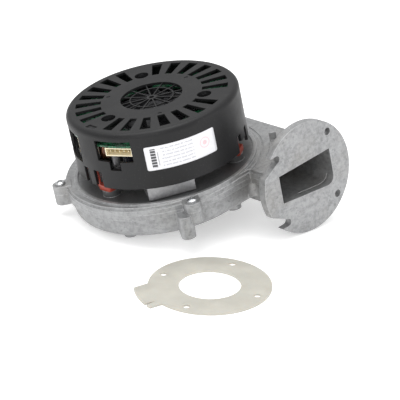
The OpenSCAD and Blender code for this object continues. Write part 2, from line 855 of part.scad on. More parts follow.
// The gasket lies on the bench in front of the blower, drawn in the bench's own frame
gasket_place = [-70.5, -128.8];
gasket_turn = 22.7;
tab_turn = 173;
tab_side = 11.4;
module outlet_gasket() {
    color("lightgray") translate([gasket_place[0], gasket_place[1], floor_d]) difference() {
        union() {
            cylinder(d = gasket_d, h = gasket_t, $fn = 128);
            intersection() {
                cylinder(r = tab_reach, h = gasket_t, $fn = 128);
                rotate(tab_turn) translate([0, -tab_w / 2 - tab_side, 0]) cube([tab_reach, tab_w, gasket_t]);
            }
        }
        translate([0, 0, -1]) cylinder(d = gasket_hole_d, h = gasket_t + 2, $fn = 128);
        for (k = [0:3]) rotate(gasket_turn + k * 90) translate([fixing_circle_d / 2, 0, -1])
            cylinder(d = gasket_screw_d, h = gasket_t + 2);
    }
}

lower_housing();
upper_housing();
housing_seal();
housing_screws();
motor_carrier();
silicone_dampers();
damper_screws();
heat_sink();
earth_tab();
bearing_outer_races();
bearing_inner_races();
bearing_balls();
preload_spring();
stator_core();
stator_insulator();
stator_coils();
motor_shaft();
shaft_seal();
retaining_ring();
rotor_hub();
rotor_cup();
rotor_magnets();
cooling_fan();
impeller_hub();
impeller_back_disc();
impeller_blades();
impeller_front_disc();
impeller_clip();
circuit_board();
board_chips();
board_capacitors();
board_choke();
signal_header();
signal_pins();
power_header();
power_pins();
motor_cover();
cover_screws();
rating_label();
outlet_gasket();
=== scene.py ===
"""A premix burner blower with its loose outlet gasket: finishes, fine pieces and studio stage.

The blower's own frame has the inlet centre as origin and the motor shaft up. The blower stands
on the rim of its outlet flange, so that frame is tipped; tipped() takes points from one to the other.
"""
import math

import bmesh
import bpy
import numpy as np
from bpy.props import FloatProperty, FloatVectorProperty, IntProperty, PointerProperty
from bpy.types import Operator, Panel, PropertyGroup
from mathutils.geometry import delaunay_2d_cdt
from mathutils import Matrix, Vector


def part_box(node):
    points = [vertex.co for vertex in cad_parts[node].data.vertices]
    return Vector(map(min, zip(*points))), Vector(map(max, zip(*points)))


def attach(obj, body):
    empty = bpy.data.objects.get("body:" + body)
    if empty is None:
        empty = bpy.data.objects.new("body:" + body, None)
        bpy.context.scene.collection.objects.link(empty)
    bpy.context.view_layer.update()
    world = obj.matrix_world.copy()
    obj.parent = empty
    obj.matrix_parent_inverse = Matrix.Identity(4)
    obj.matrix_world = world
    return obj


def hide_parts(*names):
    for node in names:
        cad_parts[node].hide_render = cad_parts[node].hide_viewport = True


bl_info = {
    "name": "Premix Blower",
    "version": (1, 0, 0),
    "blender": (4, 5, 0),
    "location": "View3D > Sidebar > Blower",
    "description": "Finishes, fine pieces and stage of a premix burner blower",
    "category": "Object",
}

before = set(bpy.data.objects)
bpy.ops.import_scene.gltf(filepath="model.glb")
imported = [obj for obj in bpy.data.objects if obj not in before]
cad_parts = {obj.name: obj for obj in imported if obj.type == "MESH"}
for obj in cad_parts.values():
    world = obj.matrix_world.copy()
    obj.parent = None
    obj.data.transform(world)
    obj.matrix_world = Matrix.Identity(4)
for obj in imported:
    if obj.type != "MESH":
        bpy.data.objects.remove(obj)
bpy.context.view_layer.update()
MM = 0.001
TIP_BACK = math.radians(-5.5)
TIP_SIDE = math.radians(-9.5)
BENCH_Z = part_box("outlet_gasket")[0][2]

# Sizes of the blower in millimetres, in its own frame
COVER_R = 72.5
COVER_Z = 42.5
LABEL_MIDDLE = math.radians(-113.5)
LABEL_RISE = 26.1
LABEL_LIFT = 0.2
LABEL_SINK = 0.1
BOARD_TOP = 80.2
BOARD_RING = (44.0, 65.5)
CHIP_SIZES = np.array([[1.6, 0.9, 0.6], [2.2, 1.4, 0.7], [3.2, 1.8, 0.9], [4.6, 3.9, 1.5]])
POST_ANGLES = np.radians([-57.0, 63.0, 183.0])
POST_R = 61.0
POST_TOP = 35.5
FIN_CENTRE = (6.2, -5.7)
DISH_R = 74.0
DISH_BLUR = 2.5

# Sizes of the gasket in millimetres, and where it lies on the bench
GASKET_CENTRE = (-70.5, -128.8)
GASKET_SCREWS = np.radians(22.7 + 90.0 * np.arange(4))
GASKET_SCREW_R = 40.7
GASKET_SCREW_HOLE_R = 2.8
TAB_TURN = math.radians(173.0)
TAB_LEFT = 5.85
TAB_RIGHT = 28.65

# Stage, in metres
CAMERA_PLACE = (-0.98932, -1.17032, 0.69673)
CAMERA_TURN = (math.radians(65.366), math.radians(-0.282), math.radians(-40.956))
LIGHT_AIM = (0.0, -0.02, 0.03)
FLOOR_HALF = 6.0
FLOOR_POINTS = 13
WHITE = (1.0, 1.0, 1.0, 1.0)


# ---------------------------------------------------------------- sizes and colours

class CastingLook(PropertyGroup):
    """Finish of the two aluminium castings."""
    color: FloatVectorProperty(
        name="Casting Color", description="Colour of the cast skin", subtype="COLOR",
        size=3, min=0.0, max=1.0, default=(0.315, 0.318, 0.322))
    stain: FloatVectorProperty(
        name="Stain Color", description="Colour of the brown patches that the die leaves", subtype="COLOR",
        size=3, min=0.0, max=1.0, default=(0.235, 0.205, 0.165))
    roughness: FloatProperty(
        name="Roughness", description="Roughness of the cast skin", min=0.1, max=1.0, default=0.46)
    edge_radius: FloatProperty(
        name="Edge Radius", description="Radius that the cast edges shade with", unit="LENGTH",
        min=0.0001, max=0.003, default=0.0009)


class CoverLook(PropertyGroup):
    """Finish of the moulded motor cover."""
    color: FloatVectorProperty(
        name="Cover Color", description="Colour of the moulded plastic", subtype="COLOR",
        size=3, min=0.0, max=1.0, default=(0.0075, 0.0075, 0.0083))
    roughness: FloatProperty(
        name="Roughness", description="Roughness of the moulded plastic", min=0.1, max=1.0, default=0.46)
    edge_radius: FloatProperty(
        name="Edge Radius", description="Radius that the moulded edges shade with", unit="LENGTH",
        min=0.0001, max=0.003, default=0.0007)


class LabelLook(PropertyGroup):
    """Size and print of the label on the cover's side."""
    height: FloatProperty(
        name="Height", description="Height of the label", unit="LENGTH", min=0.01, max=0.03, default=0.0208)
    arc: FloatProperty(
        name="Arc", description="Angle of the cover that the label goes round", subtype="ANGLE",
        min=0.5, max=1.2, default=math.radians(48.0))
    corner: FloatProperty(
        name="Corner Radius", description="Radius of the label's corners", unit="LENGTH",
        min=0.0005, max=0.004, default=0.0015)
    film: FloatVectorProperty(
        name="Film Color", description="Colour of the bare film", subtype="COLOR",
        size=3, min=0.0, max=1.0, default=(0.80, 0.80, 0.83))


class SiliconeLook(PropertyGroup):
    """Colours of the dampers and of the gasket."""
    damper: FloatVectorProperty(
        name="Damper Color", description="Colour of the motor's dampers", subtype="COLOR",
        size=3, min=0.0, max=1.0, default=(0.36, 0.05, 0.028))
    gasket: FloatVectorProperty(
        name="Gasket Color", description="Colour of the outlet gasket", subtype="COLOR",
        size=3, min=0.0, max=1.0, default=(0.50, 0.485, 0.43))


class GasketShape(PropertyGroup):
    """Outline of the loose outlet gasket."""
    diameter: FloatProperty(
        name="Diameter", description="Outside diameter", unit="LENGTH",
        min=0.09, max=0.11, default=0.0972)
    hole: FloatProperty(
        name="Hole", description="Diameter of the middle hole", unit="LENGTH",
        min=0.03, max=0.06, default=0.0488)
    thickness: FloatProperty(
        name="Thickness", description="Thickness of the sheet", unit="LENGTH",
        min=0.001, max=0.003, default=0.0018)
    tab_reach: FloatProperty(
        name="Tab Reach", description="Centre to the curved end of the tab", unit="LENGTH",
        min=0.05, max=0.07, default=0.0595)
    round: FloatProperty(
        name="Edge Round", description="Round that the cutting die leaves on the edges", unit="LENGTH",
        min=0.0001, max=0.0008, default=0.0003)


class BoardLook(PropertyGroup):
    """Small parts on the circuit board."""
    parts: IntProperty(
        name="Small Parts", description="Number of small parts along the board's ring",
        min=12, max=160, default=96)
    mask: FloatVectorProperty(
        name="Mask Color", description="Colour of the solder mask", subtype="COLOR",
        size=3, min=0.0, max=1.0, default=(0.012, 0.085, 0.038))


class StageLook(PropertyGroup):
    """Camera, lights and floor."""
    lens: FloatProperty(
        name="Lens", description="Focal length of the camera", subtype="DISTANCE_CAMERA",
        min=50.0, max=300.0, default=180.0)
    key_power: FloatProperty(
        name="Key Power", description="Power of the large overhead light", subtype="POWER", unit="POWER",
        min=0.0, max=200.0, default=15.0)
    floor_color: FloatVectorProperty(
        name="Floor Color", description="Colour of the floor", subtype="COLOR",
        size=3, min=0.0, max=1.0, default=(0.86, 0.86, 0.86))
    floor_glow: FloatProperty(
        name="Floor Glow", description="Light that the backlit floor gives by itself",
        min=0.0, max=1.0, default=0.38)
    sky: FloatProperty(
        name="Sky", description="Strength of the even light from all round", min=0.0, max=3.0, default=0.75)


LOOKS = (
    (CastingLook, "blower_casting"), (CoverLook, "blower_cover"), (LabelLook, "blower_label"),
    (SiliconeLook, "blower_silicone"), (GasketShape, "blower_gasket"), (BoardLook, "blower_board"),
    (StageLook, "blower_stage"),
)


# ---------------------------------------------------------------- frames and meshes

def tipped(points):
    """Points of the blower's own frame, in millimetres, turned into the bench's frame, in metres.

    The tip is a turn about Y by TIP_SIDE, then a turn about X by TIP_BACK.
    """
    c, s = math.cos(TIP_SIDE), math.sin(TIP_SIDE)
    about_y = np.array([[c, 0.0, s], [0.0, 1.0, 0.0], [-s, 0.0, c]])
    c, s = math.cos(TIP_BACK), math.sin(TIP_BACK)
    about_x = np.array([[1.0, 0.0, 0.0], [0.0, c, -s], [0.0, s, c]])
    return points @ (about_x @ about_y).T * MM


SHAFT = tuple(tipped(np.array([[0.0, 0.0, 1.0 / MM]]))[0])


def grid_faces(rows, columns, wrap_columns=False):
    """Quads of a rows by columns grid of points, counted row by row, joined round where its columns wrap."""
    i, j = np.meshgrid(np.arange(rows - 1), np.arange(columns if wrap_columns else columns - 1), indexing="ij")
    here, below = i * columns, (i + 1) * columns
    right = (j + 1) % columns
    return np.stack([here + j, here + right, below + right, below + j], axis=-1).reshape(-1, 4)


def turned_about(shapes, angles):
    """Each shape's points turned about the upright axis by its own angle. One shape is shared by all."""
    c, s = np.cos(angles)[:, None], np.sin(angles)[:, None]
    x, y, z = np.broadcast_arrays(c, *np.moveaxis(shapes, -1, 0))[1:]
    return np.stack([c * x - s * y, s * x + c * y, z], axis=-1)


def copies(faces, points, count):
    """Faces of a shape with that many points, repeated for a count of copies that follow each other."""
    return (faces[None] + np.arange(count)[:, None, None] * points).reshape(-1, faces.shape[-1])


def new_piece(name, points, faces, material, body, uv=None):
    """A smooth mesh object from points in metres, riding on a body, with its coincident points merged.

    Faces are rows of an array, or lists. uv gives one pair for each point. The material goes by name.
    """
    mesh = bpy.data.meshes.new(name)
    mesh.from_pydata(points.tolist(), [], faces if isinstance(faces, list) else faces.tolist())
    if uv is not None:
        layer = mesh.uv_layers.new(name="UVMap")
        layer.uv.foreach_set("vector", uv[faces.ravel()].astype(np.float32).ravel())
    merged = bmesh.new()
    merged.from_mesh(mesh)
    bmesh.ops.remove_doubles(merged, verts=merged.verts, dist=1e-7)
    merged.to_mesh(mesh)
    merged.free()
    mesh.polygons.foreach_set("use_smooth", np.full(len(mesh.polygons), True))
    mesh.update()
    mesh.materials.append(bpy.data.materials[material])
    piece = bpy.data.objects.new(name, mesh)
    bpy.context.scene.collection.objects.link(piece)
    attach(piece, body)
    return piece


# ---------------------------------------------------------------- finishes

class Finish:
    """A new node material, and short ways to add the nodes that the finishes share."""

    def __init__(self, name, metallic=0.0, roughness=0.5, **constants):
        self.material = bpy.data.materials.new(name)
        self.material.use_nodes = True
        self.nodes = self.material.node_tree.nodes
        self.links = self.material.node_tree.links
        self.shader = self.nodes["Principled BSDF"]
        self.shader.inputs["Metallic"].default_value = metallic
        self.shader.inputs["Roughness"].default_value = roughness
        for socket, value in constants.items():
            self.shader.inputs[socket.replace("_", " ")].default_value = value
        self.place = self.nodes.new("ShaderNodeTexCoord").outputs["Object"]

    def add(self, kind, links=None, **settings):
        """A node of that kind, with its sockets linked and its settings made."""
        node = self.nodes.new(kind)
        for key, value in settings.items():
            setattr(node, key, value)
        for socket, value in (links or {}).items():
            if isinstance(value, bpy.types.NodeSocket):
                self.links.new(value, node.inputs[socket])
            else:
                node.inputs[socket].default_value = value
        return node

    def noise(self, scale, detail=3.0, roughness=0.55, place=None):
        """Grain of about 1/scale metres."""
        links = {"Vector": place or self.place, "Scale": scale, "Detail": detail, "Roughness": roughness}
        return self.add("ShaderNodeTexNoise", links).outputs["Fac"]

    def spread(self, value, low, high, to_low=0.0, to_high=1.0):
        """The range low to high of a value, stretched to another range."""
        links = {"Value": value, "From Min": low, "From Max": high, "To Min": to_low, "To Max": to_high}
        return self.add("ShaderNodeMapRange", links).outputs["Result"]

    def join(self, pairs):
        """Links each value to its socket, or sets it; a colour is given its alpha."""
        for socket, value in pairs:
            if isinstance(value, bpy.types.NodeSocket):
                self.links.new(value, socket)
            elif socket.type == "RGBA":
                socket.default_value = (*value[:3], 1.0)
            else:
                socket.default_value = value

    def blend(self, factor, a, b):
        """Colour a turned into b by the factor."""
        node = self.add("ShaderNodeMix", {"Factor": factor}, data_type="RGBA")
        self.join(((node.inputs[6], a), (node.inputs[7], b)))
        return node.outputs[2]

    def mark(self, tone, mask, amount, color):
        """The tone, turned towards a colour by an amount where the mask is 1."""
        return self.blend(self.math("MULTIPLY", mask, amount), tone, color)

    def math(self, operation, a, b=0.0):
        """Result of a math node."""
        node = self.add("ShaderNodeMath", operation=operation)
        self.join(zip(node.inputs, (a, b)))
        return node.outputs["Value"]

    def mapped(self, place, **settings):
        """The place through a mapping node, with its sockets set."""
        return self.add("ShaderNodeMapping", {"Vector": place, **settings}).outputs["Vector"]

    def vector(self, operation, output, links):
        """An output of a vector math node."""
        return self.add("ShaderNodeVectorMath", links, operation=operation).outputs[output]

    def soft_edges(self, radius):
        """Normal that rounds the sharp edges within a radius, and how far it turns away from the face."""
        soft = self.add("ShaderNodeBevel", {"Radius": radius}, samples=6).outputs["Normal"]
        flat = self.add("ShaderNodeNewGeometry").outputs["Normal"]
        return soft, self.spread(self.vector("DOT_PRODUCT", "Value", {0: soft, 1: flat}), 1.0, 0.8)

    def relief(self, height, distance, normal=None, strength=1.0):
        """Normal bent by a height."""
        links = {"Height": height, "Distance": distance, "Strength": strength}
        if normal is not None:
            links["Normal"] = normal
        return self.add("ShaderNodeBump", links).outputs["Normal"]

    def feed(self, socket, value):
        """Links a value to one of the shader's sockets, or sets it there."""
        self.join(((self.shader.inputs[socket], value),))


def cast_aluminium(name, look, dish=False):
    """Die-cast skin: mottled grey with faint brown patches, flow lines, a fine grain, and edges painted
    lighter, partly rubbed metal and partly a painted highlight.

    With a dish, the skin is darker inside a radius of the shaft: partly oil and dust that settle there, partly
    painted shade under the cover and a painted reflection of its black underside.
    """
    f = Finish(name, metallic=0.55)
    normal, edge = f.soft_edges(look.edge_radius)
    cloud = f.noise(48.0, 5.0, 0.65)
    mottle = f.noise(260.0, 4.0, 0.7)
    patch = f.spread(f.noise(17.0, 5.0, 0.62), 0.50, 0.72)
    streak = f.noise(1.0, 4.0, 0.6, place=f.mapped(f.place, Scale=(60.0, 60.0, 420.0)))
    fine = f.noise(900.0, 3.0, 0.7)
    speck = f.spread(f.noise(420.0, 2.0, 0.5), 0.62, 0.72)
    base = np.array(look.color)
    tone = f.blend(f.spread(cloud, 0.30, 0.70), base * 0.74, base * 1.24)
    tone = f.mark(tone, f.spread(mottle, 0.38, 0.62), 0.45, base * 1.38)
    tone = f.mark(tone, f.spread(mottle, 0.55, 0.35), 0.30, base * 0.58)
    tone = f.mark(tone, patch, 0.38, look.stain)
    tone = f.mark(tone, f.spread(streak, 0.52, 0.72), 0.30, base * 0.60)
    tone = f.mark(tone, speck, 0.45, base * 0.42)
    # Painted shade and a painted reflection of the black cover, together with real oil and dust: the dish is
    # darkened inside a radius.
    if dish:
        along = f.vector("DOT_PRODUCT", "Value", {0: f.place, 1: SHAFT})
        foot = f.vector("SCALE", "Vector", {0: SHAFT, "Scale": along})
        out = f.vector("DISTANCE", "Value", {0: f.place, 1: foot})
        rim_jitter = f.spread(cloud, 0.3, 0.7, -0.15, 0.15)
        inside = f.spread(out, (DISH_R + DISH_BLUR) * MM, (DISH_R - DISH_BLUR) * MM)
        rim = f.math("ADD", inside, rim_jitter)
        tone = f.mark(tone, f.spread(rim, 0.1, 0.9), 0.80, base * 0.30)
    # Edges painted lighter: partly rubbed metal, partly a painted highlight.
    f.feed("Base Color", f.mark(tone, edge, 0.70, base * 1.9))
    rough = f.spread(cloud, 0.3, 0.7, look.roughness - 0.10, look.roughness + 0.10)
    f.feed("Roughness", f.math("SUBTRACT", rough, f.math("MULTIPLY", edge, 0.15)))
    wavy = f.relief(f.noise(130.0, 4.0, 0.6), 0.0006, normal, 0.65)
    f.feed("Normal", f.relief(fine, 0.00014, wavy, 0.9))
    return f.material


def moulded_black(name, color, roughness, radius, grain=1500.0, depth=0.00005):
    """Dark moulded plastic with a fine spark-eroded grain, and its edges painted lighter as a painted
    highlight.
    """
    f = Finish(name, roughness=roughness, Specular_IOR_Level=0.34)
    normal, edge = f.soft_edges(radius)
    cloud = f.noise(45.0, 3.0, 0.6)
    tone = f.blend(f.spread(cloud, 0.3, 0.7), np.array(color) * 0.85, np.array(color) * 1.2)
    dust = f.spread(f.noise(900.0, 2.0, 0.5), 0.66, 0.75)
    tone = f.mark(tone, dust, 0.12, (0.25, 0.24, 0.23))
    # Painted highlight: the edges are painted lighter.
    f.feed("Base Color", f.mark(tone, edge, 0.35, np.array(color) * 2.4))
    f.feed("Roughness", f.spread(cloud, 0.3, 0.7, roughness - 0.05, roughness + 0.07))
    f.feed("Normal", f.relief(f.noise(grain, 2.0, 0.6), depth, normal, 0.7))
    return f.material


def plated_steel(name, color, roughness=0.28, radius=0.00025):
    """Zinc or ground steel: fine random scratches and a slight change of sheen."""
    f = Finish(name, metallic=1.0)
    normal, edge = f.soft_edges(radius)
    cloud = f.noise(400.0, 3.0, 0.6)
    scratch = f.noise(1.0, 2.0, 0.5, place=f.mapped(f.place, Scale=(2600.0, 300.0, 900.0)))
    tone = f.blend(f.spread(cloud, 0.3, 0.7), np.array(color) * 0.82, np.array(color) * 1.08)
    # Painted highlight: the edges are painted lighter.
    f.feed("Base Color", f.mark(tone, edge, 0.4, np.minimum(np.array(color) * 1.35, 1.0)))
    f.feed("Roughness", f.spread(scratch, 0.25, 0.75, roughness - 0.08, roughness + 0.14))
    f.feed("Normal", f.relief(scratch, 0.00002, normal, 0.6))
    return f.material


def silicone(name, color, radius, milky=0.12, roughness=0.45):
    """Silicone rubber: soft light inside, faint clouds, dust and a satin skin."""
    f = Finish(name, roughness=roughness, Subsurface_Weight=milky, Subsurface_Scale=0.002)
    f.shader.inputs["Subsurface Radius"].default_value = (1.0, 0.7, 0.5)
    normal, _ = f.soft_edges(radius)
    cloud = f.noise(60.0, 4.0, 0.6)
    tone = f.blend(f.spread(cloud, 0.3, 0.7), np.array(color) * 0.93, np.minimum(np.array(color) * 1.07, 1.0))
    dust = f.spread(f.noise(1100.0, 2.0, 0.5), 0.62, 0.72)
    f.feed("Base Color", f.mark(tone, dust, 0.10, (0.75, 0.73, 0.70)))
    f.feed("Roughness", f.spread(cloud, 0.3, 0.7, roughness - 0.06, roughness + 0.08))
    f.feed("Normal", f.relief(f.noise(850.0, 2.0, 0.6), 0.00005, normal, 0.5))
    return f.material


def solder_mask(name, color):
    """Green board: glossy mask over paler tracks, with a tinned pad here and there."""
    f = Finish(name, roughness=0.25)
    cells = f.add("ShaderNodeTexVoronoi", {"Vector": f.place, "Scale": 240.0}, distance="MANHATTAN")
    track = f.spread(f.noise(310.0, 1.0, 0.4), 0.50, 0.53)
    tone = f.mark(np.array(color) * 0.75, track, 0.7, np.array(color) * 1.7)
    pad = f.math("LESS_THAN", cells.outputs["Distance"], 0.16)
    f.feed("Base Color", f.mark(tone, pad, 0.8, (0.62, 0.60, 0.55)))
    f.feed("Roughness", f.spread(pad, 0.0, 1.0, 0.25, 0.4))
    f.feed("Normal", f.relief(track, 0.00004, strength=0.7))
    return f.material


def laminated_steel(name):
    """Stack of thin sheets: fine dark lines square to the shaft."""
    f = Finish(name, metallic=0.85, roughness=0.45)
    along = f.vector("DOT_PRODUCT", "Value", {0: f.place, 1: SHAFT})
    gap = f.spread(f.math("PINGPONG", along, 0.00025), 0.0, 0.00008)
    f.feed("Base Color", f.blend(gap, (0.06, 0.06, 0.065), (0.34, 0.34, 0.36)))
    f.feed("Roughness", f.spread(f.noise(500.0), 0.3, 0.7, 0.35, 0.55))
    f.feed("Normal", f.relief(gap, 0.00006, strength=0.8))
    return f.material


def wound_copper(name, color):
    """Enamelled wire laid side by side: narrow ridges with a glossy coat, and painted shade in the grooves
    between the wires.
    """
    f = Finish(name, metallic=0.9, roughness=0.3, Coat_Weight=0.5, Coat_Roughness=0.15)
    wave = f.add("ShaderNodeTexWave", {"Vector": f.place, "Scale": 330.0, "Distortion": 0.6, "Detail": 1.0})
    # Painted shade: the colour darkens along the wave's low bands, the grooves between the wires.
    f.feed("Base Color", f.blend(wave.outputs["Fac"], np.array(color) * 0.45, np.array(color) * 1.1))
    f.feed("Roughness", f.spread(f.noise(300.0), 0.3, 0.7, 0.24, 0.38))
    f.feed("Normal", f.relief(wave.outputs["Fac"], 0.0002, strength=0.9))
    return f.material


def printed_film(name, film):
    """White label film, printed from its own map with bars, thin grey rules and a pale ring stamp."""
    f = Finish(name, roughness=0.36)
    uv = f.nodes.new("ShaderNodeTexCoord").outputs["UV"]
    part = f.add("ShaderNodeSeparateXYZ", {"Vector": uv})
    u, v = part.outputs["X"], part.outputs["Y"]

    def both(a, b):
        return f.math("MULTIPLY", a, b)

    def between(value, low, high):
        return both(f.math("GREATER_THAN", value, low), f.math("LESS_THAN", value, high))

    bar = both(between(u, 0.075, 0.145), between(v, 0.10, 0.90))
    bar = both(bar, f.math("GREATER_THAN", f.math("PINGPONG", v, 0.06), 0.012))
    thin = both(between(u, 0.165, 0.178), between(v, 0.18, 0.74))
    rules = both(between(u, 0.22, 0.66), between(v, 0.12, 0.92))
    rules = both(rules, f.math("LESS_THAN", f.math("PINGPONG", v, 0.0725), 0.026))
    broken = f.noise(1.0, 0.0, 0.5, place=f.mapped(uv, Scale=(46.0, 7.0, 1.0)))
    rules = both(rules, f.math("GREATER_THAN", broken, 0.44))
    off = f.mapped(uv, Location=(-2.42, -0.56, 0.0), Scale=(2.92, 1.0, 1.0))
    ring = f.vector("LENGTH", "Value", {0: off})
    stamp = f.math("ADD", between(ring, 0.185, 0.215), between(ring, 0.0, 0.09))
    tone = f.blend(f.spread(f.noise(700.0), 0.3, 0.7), np.array(film) * 0.97, np.array(film) * 1.03)
    tone = f.mark(tone, rules, 0.5, (0.30, 0.31, 0.36))
    tone = f.mark(tone, thin, 0.5, (0.10, 0.10, 0.12))
    tone = f.mark(tone, stamp, 0.42, (0.72, 0.25, 0.28))
    f.feed("Base Color", f.mark(tone, bar, 0.95, (0.03, 0.03, 0.035)))
    f.feed("Normal", f.relief(f.noise(260.0, 2.0), 0.00006, strength=0.5))
    return f.material


def make_finishes():
    """Every finish of the blower, by name."""
    scene = bpy.context.scene
    casting, cover = scene.blower_casting, scene.blower_cover
    rubber = scene.blower_silicone
    made = (
        cast_aluminium("lower casting", casting),
        cast_aluminium("upper casting", casting, dish=True),
        plated_steel("machined aluminium", (0.40, 0.40, 0.41), 0.48, 0.0005),
        plated_steel("pressed aluminium", (0.66, 0.66, 0.67), 0.32, 0.0003),
        moulded_black("cover plastic", cover.color, cover.roughness, cover.edge_radius),
        moulded_black("fan plastic", (0.03, 0.03, 0.033), 0.42, 0.0004),
        moulded_black("black rubber", (0.018, 0.018, 0.018), 0.62, 0.0004, 900.0, 0.0001),
        moulded_black("chip plastic", (0.022, 0.022, 0.024), 0.35, 0.0002, 2600.0, 0.00003),
        moulded_black("capacitor sleeve", (0.02, 0.02, 0.03), 0.25, 0.0005, 400.0, 0.00002),
        moulded_black("sintered ferrite", (0.04, 0.04, 0.043), 0.55, 0.0003, 2200.0, 0.0001),
        plated_steel("zinc steel", (0.60, 0.61, 0.62)),
        plated_steel("bearing steel", (0.62, 0.62, 0.63), 0.18, 0.0002),
        plated_steel("spring steel", (0.22, 0.22, 0.24), 0.3, 0.0002),
        plated_steel("drawn steel", (0.36, 0.36, 0.38), 0.36, 0.0006),
        plated_steel("turned brass", (0.70, 0.52, 0.24), 0.25, 0.0003),
        plated_steel("tinned brass", (0.68, 0.60, 0.42), 0.25, 0.0001),
        wound_copper("copper wire", (0.62, 0.27, 0.12)),
        laminated_steel("core steel"),
        silicone("insulator", (0.72, 0.71, 0.67), 0.0003, 0.05, 0.5),
        silicone("header plastic", (0.86, 0.77, 0.56), 0.0003, 0.08, 0.42),
        wound_copper("choke lacquer", (0.20, 0.08, 0.04)),
        silicone("damper silicone", rubber.damper, 0.0008, 0.15, 0.42),
        silicone("gasket silicone", rubber.gasket, 0.0004, 0.25, 0.5),
        solder_mask("solder mask", scene.blower_board.mask),
        printed_film("label film", scene.blower_label.film),
    )
    return {material.name: material for material in made}


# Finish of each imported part, the hidden ones too
NODE_FINISH = {
    "lower_housing": "lower casting", "upper_housing": "upper casting",
    "motor_carrier": "machined aluminium", "heat_sink": "machined aluminium",
    "housing_seal": "black rubber", "shaft_seal": "black rubber",
    "housing_screws": "zinc steel", "damper_screws": "zinc steel", "cover_screws": "zinc steel",
    "earth_tab": "zinc steel", "silicone_dampers": "damper silicone",
    "bearing_outer_races": "bearing steel", "bearing_inner_races": "bearing steel",
    "bearing_balls": "bearing steel", "motor_shaft": "bearing steel",
    "preload_spring": "spring steel", "retaining_ring": "spring steel", "impeller_clip": "spring steel",
    "stator_core": "core steel", "stator_insulator": "insulator", "stator_coils": "copper wire",
    "rotor_hub": "turned brass", "rotor_cup": "drawn steel", "rotor_magnets": "sintered ferrite",
    "cooling_fan": "fan plastic", "impeller_hub": "pressed aluminium",
    "impeller_back_disc": "pressed aluminium", "impeller_blades": "pressed aluminium",
    "impeller_front_disc": "pressed aluminium", "circuit_board": "solder mask",
    "board_chips": "chip plastic", "board_capacitors": "capacitor sleeve", "board_choke": "choke lacquer",
    "signal_header": "header plastic", "power_header": "header plastic",
    "signal_pins": "tinned brass", "power_pins": "tinned brass", "motor_cover": "cover plastic",
    "rating_label": "label film", "outlet_gasket": "gasket silicone",
}


class BLOWER_OT_finishes(Operator):
    """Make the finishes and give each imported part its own"""
    bl_idname = "blower.finishes"
    bl_label = "Finishes"

    def execute(self, context):
        finishes = make_finishes()
        for node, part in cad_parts.items():
            finish = finishes[NODE_FINISH[node]]
            for slot in part.material_slots:
                slot.material = finish
        return {"FINISHED"}


# ---------------------------------------------------------------- fine pieces

def label_points(arc, height, corner, rows=14, columns=96):
    """Points, map and quads of the label.

    The first parameter runs from the centre to the edge and the second round it. The outline is a
    rectangle with quarter-circle corners: the point of its inner rectangle nearest to a far point,
    1.6 half sizes out along the angle, is moved towards that by the corner radius. The label is then
    wrapped round the cover, and its last two rows drop into the cover and close it behind.
    """
    width = arc * (COVER_R + LABEL_LIFT)
    turn = np.arange(columns) * 2.0 * np.pi / columns
    stretch = np.array([width, height]) / 2.0
    far = np.stack([np.cos(turn), np.sin(turn)], axis=-1) * stretch * 1.6
    core = np.clip(far, corner - stretch, stretch - corner)
    away = far - core
    edge = core + corner * away / np.linalg.norm(away, axis=-1, keepdims=True)
    share = np.concatenate([np.linspace(0.0, 1.0, rows - 2), [1.0, 0.0]])
    flat = share[:, None, None] * edge[None]
    radius = np.full((rows, 1), COVER_R + LABEL_LIFT)
    radius[-2:] = COVER_R - LABEL_SINK
    angle = LABEL_MIDDLE + flat[..., 0] / COVER_R
    height_up = COVER_Z + LABEL_RISE + flat[..., 1]
    points = np.stack([radius * np.cos(angle), radius * np.sin(angle), height_up], axis=-1)
    uv = flat / (2.0 * stretch) + 0.5
    return points.reshape(-1, 3), uv.reshape(-1, 2), grid_faces(rows, columns, wrap_columns=True)


class BLOWER_OT_label(Operator):
    """Make the printed label on the cover's side"""
    bl_idname = "blower.label"
    bl_label = "Label"

    def execute(self, context):
        look = context.scene.blower_label
        points, uv, quads = label_points(look.arc, look.height / MM, look.corner / MM)
        piece = new_piece("printed_label", tipped(points), quads, "label film", "housing", uv)
        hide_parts("rating_label")
        return {"FINISHED"}


def superellipse(turn, power):
    """Points round a unit outline: cosine and sine of the turn, each raised to the power.

    The power runs along the rows: 1 is a circle, and towards 0 the outline becomes a square.
    """
    c, s = np.cos(turn)[None], np.sin(turn)[None]
    power = power[:, None]
    return np.stack([np.sign(c) * np.abs(c) ** power, np.sign(s) * np.abs(s) ** power], axis=-1)


def post(half_x, half_y, height, power, steps=48, offset=0.5):
    """A closed upright body: superellipse outlines of changing half sizes, stacked up the heights.

    The first parameter climbs the rows, and the second goes round in steps, from an offset of a step.
    """
    turn = (np.arange(steps) + offset) * 2.0 * np.pi / steps
    outline = superellipse(turn, power) * np.stack([half_x, half_y], axis=-1)[:, None]
    rise = np.broadcast_to(height[:, None, None], (len(height), steps, 1))
    points = np.concatenate([outline, rise], axis=-1).reshape(-1, 3)
    return points, grid_faces(len(height), steps, wrap_columns=True)


def chip_shape():
    """A unit chip from 0 to 1 high: a rounded square outline, closed below and over the top."""
    half = np.array([0.0, 1.0, 1.0, 0.94, 0.80, 0.40, 0.0]) / 2.0
    height = np.array([0.0, 0.0, 0.82, 0.96, 1.0, 1.0, 1.0])
    return post(half, half, height, np.full(len(height), 0.35), steps=12, offset=0.0)


